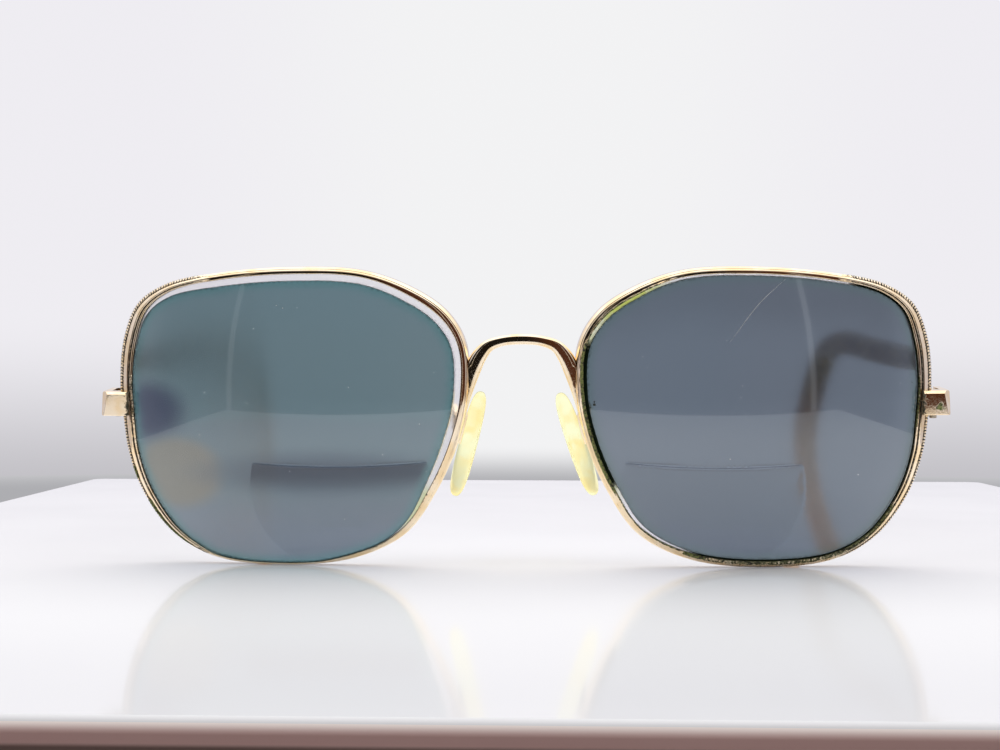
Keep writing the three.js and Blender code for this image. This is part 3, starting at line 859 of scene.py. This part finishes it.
def edge_marks(loop, verts):
    """1 at the lens's edge, fading inwards, where the glass looks deeper in colour."""
    edge = [Vector(p) for p in loop[::2]]
    marks = []
    for v in verts:
        if abs(v.x) < FAR_INSIDE[0] and abs(v.z) < FAR_INSIDE[1]:
            marks.append(0)
            continue
        here = Vector((v.x, v.z))
        marks.append(smooth(min((here - e).length for e in edge), EDGE_DEEP, 0.1))
    return marks


def build_ground_edge(side):
    """The frosted ring round the tinted glass, as a body of its own inside the rim."""
    verts, dirty_and_shaded, stained = [], [], []
    for i in range(LOOP_STEPS):
        outline = Outline(i / LOOP_STEPS)
        wide = ground_width(side, outline)
        metal = metal_width(side, outline)
        outer = outline.inset(metal - GROUND_GAP)
        inner = outline.inset(metal + wide - 0.75 * GROUND_GAP)
        lip = outline.inset(metal + wide - GROUND_LINE)
        slope = 0.12 + 0.3 * wide
        corners = [(outer, -slope), (lip, -0.05), (inner, -0.04), (inner, -0.25)]
        corners += [(inner, -GROUND_DEEP), (outer, -GROUND_DEEP)]
        verts += [on_dome(*at, height) for at, height in corners]
        # Grime and painted shadow, strongest beside the temple and below.
        dirt_and_shade, stain = ground_marks(side, outline.turn)
        dirty_and_shaded += [dirt_and_shade, dirt_and_shade, 0.8, dirt_and_shade, dirt_and_shade, dirt_and_shade]
        stained += [stain, stain * 0.6, 0, stain, stain, stain]
    faces = tube_faces(LOOP_STEPS, len(corners), closed=True)
    marks = {"dirt_and_shade": dirty_and_shaded, "stain": stained}
    ring = make(side + "_ground_edge", verts, faces, eye_place(side), GROUND, marks)
    sharpen(ring, 40)
    join_up(ring, "front", side + "_glass", side + "_lens")


# ---- Bridge ----

BRIDGE_OUTER = [
    (-10.3, 24.4), (-9.65, 28.4), (-9.45, 33.3), (-8.75, 35.4), (-6.45, 37.95), (-3.4, 38.98), (0, 39.3),
]
BRIDGE_INNER = [
    (-9.8, 24.4), (-8.5, 28.6), (-7, 32.6), (-6, 34.9), (-4.95, 36.45), (-3, 37.3), (0, 37.55),
]
BRIDGE_FORWARD = 1.05  # how far its middle stands in front of its ends
BRIDGE_BACK = 0.15  # how far back its ends are
BRIDGE_REACH = 8.7  # from its middle to where it stops curving forward
BRIDGE_RINGS = 160


def arch(half):
    other = [(-x, z) for x, z in reversed(half[:-1])]
    return Curve([(x, z, 0) for x, z in [*half, *other]])


# The bridge's section: share of its height from the outer edge, and depth behind its front.
BRIDGE_SECTION = [
    (0.5, 0), (0.36, 0), (0.26, 0.01), (0.18, 0.05), (0.09, 0.18), (0.02, 0.45), (0, 0.85), (0.03, 1.35),
    (0.15, 1.68), (0.4, 1.8), (0.6, 1.8), (0.85, 1.68), (0.97, 1.35), (1, 0.85), (0.98, 0.45), (0.91, 0.18),
    (0.82, 0.05), (0.74, 0.01), (0.64, 0),
]


def build_bridge():
    outer, inner = arch(BRIDGE_OUTER), arch(BRIDGE_INNER)

    def ring_at(share):
        a, b = outer.at(share), inner.at(share)
        for across, deep in BRIDGE_SECTION:
            p = a.lerp(b, across)
            reach = min(1, abs(p.x) / BRIDGE_REACH)
            y = BRIDGE_BACK + deep - BRIDGE_FORWARD * (1 - reach * reach)
            yield Vector((p.x, y, p.y)), 0, 0.2 * smooth(p.y, 32.5, 30)

    faces = tube_faces(BRIDGE_RINGS, len(BRIDGE_SECTION))
    gold_piece("bridge_saddle", ring_points(BRIDGE_RINGS, ring_at), faces, ON_FRONT, "bridge")


# ---- End pieces ----

END_Z = 27.25
END_TALL = 4.05
PLATE = 1.45
END_START = (66.6, 1.15)
END_OUTER = 71.3
END_BACK = 7.45
END_PLAN = [
    END_START, (70.9, 1.5), (END_OUTER, 2.2), (END_OUTER, END_BACK), (END_OUTER - PLATE, END_BACK),
    (END_OUTER - PLATE, 3.7), (68.5, 3.4), (66.6, 2.2),
]
END_FACE = Vector((0.081, -0.997, 0))  # the way its front faces
TOP_CHAMFER = 0.42
LOW_CHAMFER = 0.12
FACET = [(69.95, 1.42, END_TALL / 2), (70.8, 1.49, -END_TALL / 2), (END_OUTER, 3.1, END_TALL / 2)]
END_UP = {"left": 0.45, "right": 0}  # the left one has been soldered on a little higher
# How much less than the rims each end piece's face leans forward.
END_TIP_BACK = {"left": 0.0205, "right": -0.004}
END_CRUST = (69.5, 26.9)  # the middle of the left one's green patch
FRONT_ONLY = 2.5  # how far back the crust and the grime reach


def chopped(bm, point, normal):
    """Cuts a corner off a closed mesh and closes it again."""
    geometry = bm.verts[:] + bm.edges[:] + bm.faces[:]
    cut = bmesh.ops.bisect_plane(bm, geom=geometry, plane_co=point, plane_no=normal, clear_outer=True)
    edges = [e for e in cut["geom_cut"] if isinstance(e, bmesh.types.BMEdge)]
    bmesh.ops.contextual_create(bm, geom=edges)


def end_piece_block():
    """A folded plate with crisp chamfers: a wide one along its top and a three-cornered one outside."""
    low, high = END_Z - END_TALL / 2, END_Z + END_TALL / 2
    bm = bmesh_of([(x, y, z) for z in (low, high) for x, y in END_PLAN], tube_faces(2, len(END_PLAN)))
    bmesh.ops.recalc_face_normals(bm, faces=bm.faces)
    chopped(bm, Vector((*END_START, high - TOP_CHAMFER)), END_FACE + Vector((0, 0, 1)))
    chopped(bm, Vector((*END_START, low + LOW_CHAMFER)), END_FACE - Vector((0, 0, 1)))
    corner, below, behind = (Vector((x, y, END_Z + z)) for x, y, z in FACET)
    facet = (below - corner).cross(behind - corner)
    chopped(bm, corner, facet if facet.x > 0 else -facet)
    chopped(bm, Vector((END_OUTER, 5, high - 0.3)), Vector((1, 0, 1)))
    bmesh.ops.recalc_face_normals(bm, faces=bm.faces)
    bmesh.ops.bevel(bm, geom=bm.edges[:], offset=0.045, segments=2, profile=0.6, affect="EDGES")
    bmesh.ops.triangulate(bm, faces=bm.faces)
    for _ in range(2):
        long_edges = [e for e in bm.edges if e.calc_length() > 0.7]
        bmesh.ops.subdivide_edges(bm, edges=long_edges, cuts=1)
        bmesh.ops.triangulate(bm, faces=bm.faces)
    return bm


def end_piece_point(side, x, y, z):
    """A point of the end piece, moved to where this one sits, with its crust and grime."""
    at = Vector((x, y + (z - END_Z) * END_TIP_BACK[side], z + END_UP[side]))
    if at.y >= FRONT_ONLY:
        return at, 0, 0.15
    inner = smooth(at.x, 67.5, 66.9)
    green = 0
    if side == "left":
        green = 0.8 * smooth(math.hypot(at.x - END_CRUST[0], (at.z - END_CRUST[1]) * 1.2), 1.35, 0.8)
    return at, max(green, 0.5 * inner), max(0.8 * inner, 0.15)


def build_end_piece(side):
    bm = end_piece_block()
    verts, faces = lists_of(bm)
    points = [end_piece_point(side, *v) for v in verts]
    flat = {i for i, f in enumerate(bm.faces) if f.calc_area() > 0.012}
    bm.free()
    place = ON_FRONT @ mirrored(side)
    gold_piece(side + "_end_piece_block", points, faces, place, side + "_end_piece", flat)


# ---- Dirt ----


def crumbs(name, places, place, material, slot="gold"):
    """Small broken lumps. places holds each lump's middle, its size and its flatness."""
    verts, faces = [], []
    for middle, size, tall in places:
        start = len(verts)
        turn = Matrix.Rotation(random.uniform(0, math.tau), 3, "Y")
        for axis in range(3):
            for sign in (-1, 1):
                v = Vector((0, 0, 0))
                v[axis] = sign * size * random.uniform(0.6, 1.2) * (tall if axis == 1 else 1)
                v[(axis + 1) % 3] += random.uniform(-0.3, 0.3) * size
                verts.append(Vector(middle) + turn @ v)
        faces += [(start + x, start + y, start + z) for x in (0, 1) for y in (2, 3) for z in (4, 5)]
    join_up(make(name, verts, faces, place, material, flat=range(len(faces))), "front", slot)


# Where dirt has gathered on the rims: side, turns from and to in degrees, shares of the width from and to,
# count, size, and whether it is olive.
GATHERED = [
    ("right", 309, 334, 0.04, 0.42, 200, 0.09, True),
    ("right", 303, 310, 0.2, 0.8, 26, 0.1, False),
    ("right", 339, 343, 0.05, 0.4, 26, 0.1, True),
    ("right", 356, 371, 0.9, 1.06, 70, 0.1, False),
    ("right", 212, 240, 0.75, 1, 50, 0.08, True),
    ("left", 354, 372, 0.86, 1.1, 110, 0.11, False),
    ("left", 150, 232, 0.82, 1, 240, 0.085, False),
    ("left", 176, 232, 0.98, 1.12, 90, 0.07, True),
    ("left", 262, 330, 0.15, 0.75, 150, 0.09, True),
    ("left", 262, 330, 0.5, 1, 110, 0.085, False),
]
RIM_STEPS = 720
CLUMP = 14  # crumbs for each place where they gather
CLUMP_SPREAD = 0.05


def metal_height(share, beaded):
    """How far the rim stands in front of the lens's surface at a share of its width."""
    last = SECTION[0]
    for row in SECTION:
        if row[0] >= share:
            step = (share - last[0]) / max(0.001, row[0] - last[0])
            return mix(mix(last[3], row[3], step), mix(last[1], row[1], step), beaded)
        last = row
    return 0


def gather_dirt():
    """Crumbs of dirt standing on the rims, thick at some places."""
    outlines = [Outline(i / RIM_STEPS) for i in range(RIM_STEPS)]
    for number, (side, low, high, near, far, count, size, olive) in enumerate(GATHERED):
        spots = []
        within = [o for o in outlines if (o.turn - low) % 360 < high - low]
        clumps = [random.uniform(0, 1) for _ in range(max(3, count // CLUMP))]
        for _ in range(count):
            along = min(0.999, max(0, random.choice(clumps) + random.gauss(0, CLUMP_SPREAD)))
            outline = within[int(along * len(within))]
            share = random.uniform(near, far)
            height = metal_height(share, outline.beaded) + 0.02
            at = on_dome(*outline.inset(share * metal_width(side, outline)), height)
            spots.append((at, size * random.uniform(0.5, 1.2), 0.7))
        crumbs(f"{side}_rim_dirt_{number}", spots, eye_place(side), OLIVE if olive else CRUMB)


# Single crumbs on the left lens: where, and how large.
BLACK_CRUMBS = [((-26.1, 2.7), 0.3), ((-26.1, 3.15), 0.2), ((26.8, 6.1), 0.14), ((-12.6, 18), 0.1)]
DUST_COUNT = 26
DUST_SIZES = (0.04, 0.05, 0.06, 0.1)


def scatter_specks():
    """Dust on both lenses and single crumbs on the left one."""
    for side in SIDES:
        spots = []
        for _ in range(DUST_COUNT):
            x, z = random.uniform(-24, 26), random.uniform(-20, 21)
            if math.hypot(x / 28, z / 23) < 0.95:
                spots.append((on_dome(x, z, 0.02), random.choice(DUST_SIZES), 0.3))
        crumbs(side + "_lens_dust", spots, eye_place(side), DUST, side + "_glass")
    black = [(on_dome(*at, 0.12), size, 0.5) for at, size in BLACK_CRUMBS]
    crumbs("left_lens_specks", black, eye_place("left"), CRUMB, "left_glass")


SCRATCH = Curve([(5, 23.4, 0), (0.3, 19.2, 0), (-4.6, 13, 0)])
SCRATCH_RINGS = 60


def scratch_ring(share):
    """Three points across the scratch, which is widest in its middle."""
    here, along = SCRATCH.at(share), SCRATCH.along(share)
    wide = 0.03 * math.sin(math.pi * min(1, share + 0.02)) + 0.006
    for sign, height in ((-1, 0.004), (1, 0.004), (0, 0.016)):
        yield on_dome(here.x - along.y * wide * sign, here.y + along.x * wide * sign, height)


def build_scratch():
    """A long pale scratch on the left lens."""
    verts = ring_points(SCRATCH_RINGS, scratch_ring)
    scratch = make("left_lens_scratch", verts, tube_faces(SCRATCH_RINGS, 3), eye_place("left"), DUST)
    join_up(scratch, "front", "left_glass")


# ---- Nose pads ----

PAD = {"long": 18.8, "wide": 8.4, "thick": 2.9}
PAD_RINGS = 40
PAD_AROUND = 48
PAD_FLATNESS = 0.8
PAD_FULLNESS = 0.42
PAD_NARROWING = 0.12


def pad_ring(share):
    """One outline of the pad, from its outer face, shrunk to a point, through its edge to its inner face."""
    tilt = math.pi * share
    flat = math.copysign(abs(math.cos(tilt)) ** PAD_FLATNESS, math.cos(tilt)) * PAD["thick"] / 2
    reach = math.sin(tilt) ** PAD_FULLNESS if 0 < share < 1 else 0
    for k in range(PAD_AROUND):
        a = k / PAD_AROUND * math.tau
        narrow = 1 - PAD_NARROWING * math.sin(a)
        y = PAD["wide"] / 2 * narrow * math.cos(a) * reach
        yield Vector((flat, y, PAD["long"] / 2 * math.sin(a) * reach))


def build_pad(side):
    """A soft-edged oval, a little narrower at the top."""
    bm = bmesh_of(ring_points(PAD_RINGS + 1, pad_ring), tube_faces(PAD_RINGS + 1, PAD_AROUND)[:-2])
    bmesh.ops.remove_doubles(bm, verts=bm.verts, dist=0.001)
    verts, faces = lists_of(bm)
    bm.free()
    pad = make(side + "_pad_cushion", verts, faces, pad_place(side), PAD_PLASTIC)
    join_up(pad, side + "_pad", "pad", side + "_nose_pad")


# ---- Temples ----

TEMPLE = Curve([
    (70.57, 4.05, 28.05), (70.57, 7.6, 28.3), (70.5, 12, 30.6), (70.4, 16.5, 33.2), (70.2, 22, 34.5),
    (69.8, 40, 35), (69, 64, 36.1), (68, 84, 37), (67.2, 93.5, 35.2), (66.1, 100, 28.8), (65.1, 103.6, 20),
    (66.1, 106.5, 11), (69.2, 110, 0.4),
])
SLEEVE_START = 21
SLEEVE_GAP = 0.004  # between bar and sleeve, as a share of the length
SLEEVE_TIP = 0.998
SLEEVE_THICK = 3.7
SLEEVE_TALL = 4.05
SLEEVE_RINGS, SLEEVE_AROUND = 260, 36
COLLAR = 0.62  # how thick the sleeve starts
COLLAR_LONG = 2.2
NOSE_LONG = 1.9
BAR_TALL = 3.4
BAR_RINGS, BAR_AROUND = 90, 28


def share_at(y):
    share = 0
    while TEMPLE.at(share).y < y:
        share += 0.0005
    return share


TEMPLE_SPLIT = share_at(SLEEVE_START)


def temple_ring(share, section):
    """A section set square to the temple's centre line."""
    here = TEMPLE.at(share)
    along = TEMPLE.along(share)
    across = (Vector((1, 0, 0)) - along * along.x).normalized()
    up = across.cross(along)
    return [here + across * a + up * b for a, b in section]


def bar_ring(part):
    """A ring of the bar, whose ends are eased a little."""
    ease = mix(0.8, 1, smooth(min(part, 1 - part) * (BAR_RINGS - 1), -1, 2))
    section = rounded_section(PLATE * ease, BAR_TALL * ease, 0.35, BAR_AROUND)
    return temple_ring(part * (TEMPLE_SPLIT - SLEEVE_GAP), section)


def sleeve_ring(part):
    """A ring of the sleeve, which swells from its collar and ends in a round nose."""
    share = mix(TEMPLE_SPLIT, SLEEVE_TIP, part)
    from_start = (share - TEMPLE_SPLIT) * TEMPLE.length
    to_tip = (SLEEVE_TIP - share) * TEMPLE.length
    collar = mix(COLLAR, 1, math.sqrt(smooth(from_start, -0.05, COLLAR_LONG)))
    nose = math.sqrt(max(0, 1 - (1 - min(1, to_tip / NOSE_LONG)) ** 2))
    size = max(0.05, collar * nose)
    return temple_ring(share, rounded_section(SLEEVE_THICK * size, SLEEVE_TALL * size, 0.8, SLEEVE_AROUND))


def build_temple(side):
    body = side + "_temple"
    place = ON_TABLE @ mirrored(side)
    verts = ring_points(BAR_RINGS, bar_ring)
    bar = make(side + "_temple_metal", verts, tube_faces(BAR_RINGS, BAR_AROUND), place, GOLD)
    join_up(bar, body, "gold", side + "_temple_bar")
    verts = ring_points(SLEEVE_RINGS, sleeve_ring)
    faces = tube_faces(SLEEVE_RINGS, SLEEVE_AROUND)
    along = [i // SLEEVE_AROUND / (SLEEVE_RINGS - 1) for i in range(len(verts))]
    sleeve = make(side + "_temple_tortoise", verts, faces, place, TORTOISE, {"along": along})
    join_up(sleeve, body, "sleeve", side + "_temple_sleeve")


# ---- Kept CAD nodes ----

KEPT = [
    (GOLD, ["closing_block_upper", "closing_block_lower", "front_hinge", "temple_hinge"]),
    (GOLD, ["pad_arm", "pad_box"]),
    (STEEL, ["closing_screw", "hinge_screw", "pad_screw"]),
]


def dress_kept(side):
    for material, nodes in KEPT:
        for node in nodes:
            mesh = frame["nodes"][side + "_" + node].data
            mesh.materials.clear()
            mesh.materials.append(material)


# ---- Stage ----

TABLE = [(-0.122, -0.158), (0.135, -0.158), (0.156, 0.184), (-0.154, 0.184)]
TABLE_EDGE = [(0, 0.0014), (-0.0004, 0.0004), (-0.0014, 0), (-0.03, 0)]  # height, and how far inside
TABLE_CORNER = 0.005
CORNER_STEPS = 8


def rounded_corners(corners, reach):
    """A polygon's outline with its corners rounded off."""
    points = []
    for i, corner in enumerate(corners):
        here = Vector(corner)
        before = here + (Vector(corners[i - 1]) - here).normalized() * reach
        after = here + (Vector(corners[(i + 1) % len(corners)]) - here).normalized() * reach
        for k in range(CORNER_STEPS + 1):
            t = k / CORNER_STEPS
            points.append(before.lerp(here, t).lerp(here.lerp(after, t), t))
    return points


def table_top_material():
    """White and glossy, a little greyer near its front edge: painted shade that evens out the stronger light
    there.
    """
    material, n, shader = new_material("table_white")
    place = n.place()
    broad = n.noise(place, 0.02, 2)
    white = n.blend(broad, (0.9, 0.895, 0.885), (0.93, 0.925, 0.915))
    # Painted shade: greyer towards the front edge.
    near = n.ramp(n.split(place)[1], -100, -152)
    n.fill(shader, {
        "Base Color": n.blend(near, white, (0.79, 0.785, 0.79)),
        "Roughness": n.ramp(broad, 0.3, 0.7, 0.07, 0.1),
        "Specular IOR Level": 0.07,
    })
    return material


def table_side_material():
    """A reddish wooden edge under the white, with a painted highlight along its top, dark at the bottom."""
    material, n, shader = new_material("table_side")
    place = n.place()
    below = n.split(place)[2]
    wood_and_highlight = n.blend(n.noise(place, 0.05, 2), (0.68, 0.43, 0.39), (0.76, 0.5, 0.45))
    # A painted highlight, pale along the rounded top of the edge.
    wood_and_highlight = n.blend(n.ramp(below, -0.3, -1.4), (0.98, 0.88, 0.82), wood_and_highlight)
    wood_and_highlight = n.blend(n.ramp(below, -2.1, -2.6), wood_and_highlight, (0.2, 0.13, 0.11))
    n.fill(shader, {"Base Color": wood_and_highlight, "Roughness": 0.5})
    return material


def build_table():
    """A table, a little narrower at the front, with a soft front edge."""
    outline = rounded_corners(TABLE, TABLE_CORNER)
    count = len(outline)
    verts = []
    for z, inset in TABLE_EDGE:
        for p in outline:
            verts.append((p.x - math.copysign(inset, p.x), p.y - math.copysign(inset, p.y), z))
    faces = tube_faces(len(TABLE_EDGE), count)[:-1]
    top = len(faces) - 1
    table = make("table", verts, faces, Matrix.Identity(4), table_top_material(), flat=[top])
    table.data.materials.append(table_side_material())
    slots = [0 if i < count or i == top else 1 for i in range(len(faces))]
    table.data.polygons.foreach_set("material_index", slots)


def lit_tent(n, x, y, z):
    """What lights the set and shows in reflections: a white photo tent, open and dim at the front.

    sideways and height say how far a direction leans from straight ahead, as tangents.
    """
    ahead = n.math("MAXIMUM", n.times(y, -1), 0.001)
    sideways = n.math("DIVIDE", n.math("ABSOLUTE", x), ahead)
    height = n.math("DIVIDE", z, ahead)
    front = n.math("LESS_THAN", y, 0)
    opening = n.times(n.ramp(sideways, 1.7, 1.19), n.ramp(height, 0.95, 0.75))
    gap_at = n.plus(n.ramp(x, -0.1, 0.1, 0.665, 0.6), n.times(height, 0.1))
    leaning = n.plus(sideways, n.times(height, 0.2))
    gap = n.ramp(n.math("ABSOLUTE", n.math("SUBTRACT", leaning, gap_at)), 0.026, 0.012)
    gap = n.times(n.times(gap, front), n.ramp(height, 0.9, 0.3))
    wall = n.blend(n.ramp(z, -0.1, 0.75), (0.62, 0.6, 0.68), (1.15, 1.15, 1.18))
    shade = n.times(n.ramp(sideways, 2.6, 1), n.ramp(height, 1.6, 1.1))
    far = n.blend(n.times(shade, front), wall, (0.1, 0.1, 0.12))
    dim = n.blend(n.ramp(x, 0, 0.35), (0.012, 0.01, 0.009), (0.075, 0.03, 0.018))
    tent = n.blend(n.times(opening, front), far, dim)
    tent = n.blend(gap, tent, (0.75, 0.74, 0.76))
    glossy = n.add("ShaderNodeLightPath").outputs["Is Glossy Ray"]
    return n.blend(n.times(n.ramp(z, 0.5, 0.8), glossy), tent, (1.6, 1.58, 1.54))


def seen_backdrop(n, x, z):
    """What the camera sees: plain and pale, darker towards the table and at the sides."""
    middle = n.blend(n.ramp(z, -0.066, -0.034), (0.42, 0.42, 0.44), (0.89, 0.89, 0.9))
    edge = n.blend(n.ramp(z, -0.085, 0.062), (0.51, 0.5, 0.53), (0.86, 0.845, 0.885))
    aside = n.ramp(n.math("ABSOLUTE", x), 0.06, 0.3)
    return n.blend(aside, middle, n.blend(1, middle, edge, "DARKEN"))


def build_world():
    world = bpy.data.worlds.new("tent")
    world.use_nodes = True
    bpy.context.scene.world = world
    n = Nodes(world.node_tree)
    x, y, z = n.split(n.add("ShaderNodeTexCoord").outputs["Generated"])
    path = n.add("ShaderNodeLightPath").outputs
    direct = n.math("MAXIMUM", path["Is Camera Ray"], path["Is Transmission Ray"])
    background = next(m for m in world.node_tree.nodes if m.type == "BACKGROUND")
    n.put(background.inputs["Color"], n.blend(direct, lit_tent(n, x, y, z), seen_backdrop(n, x, z)))


LAMP_AT = (0, 0.02, 0.5)
LAMP_SIZE = (0.6, 0.5)
LAMP_POWER = 1.15
LAMP_COLOUR = (1, 0.99, 0.975)


def build_lamp():
    """A large soft lamp overhead, aimed at the middle of the table and hidden from reflections."""
    data = bpy.data.lights.new("overhead", "AREA")
    data.shape = "RECTANGLE"
    data.size, data.size_y = LAMP_SIZE
    data.energy = LAMP_POWER
    data.color = LAMP_COLOUR
    light = placed("overhead", data)
    light.location = LAMP_AT
    light.visible_glossy = False
    light.rotation_euler = (-Vector(LAMP_AT)).to_track_quat("-Z", "Y").to_euler()


CAMERA_AT = (2.4, -220, 28)
FOCAL_LENGTH = 46.8
YAW = math.radians(1.61)
PITCH = math.radians(1.10)
ROLL = math.radians(0.119)


def build_camera():
    data = bpy.data.cameras.new("camera")
    data.lens = FOCAL_LENGTH
    data.sensor_width = 36
    data.clip_start = 0.005
    camera = placed("camera", data)
    camera.location = ON_TABLE @ Vector(CAMERA_AT)
    level = Matrix.Rotation(YAW, 3, "Z") @ Matrix.Rotation(math.pi / 2 + PITCH, 3, "X")
    camera.rotation_euler = (level @ Matrix.Rotation(ROLL, 3, "Z")).to_euler()
    bpy.context.scene.camera = camera


# ---- Assembly ----

build_camera()
build_world()
build_table()
build_lamp()
bpy.context.scene.view_settings.view_transform = "Standard"

build_bridge()
for side in SIDES:
    build_rim(side)
    build_lens(side)
    build_ground_edge(side)
    build_end_piece(side)
    build_pad(side)
    build_temple(side)
    dress_kept(side)

gather_dirt()
scatter_specks()
build_scratch()
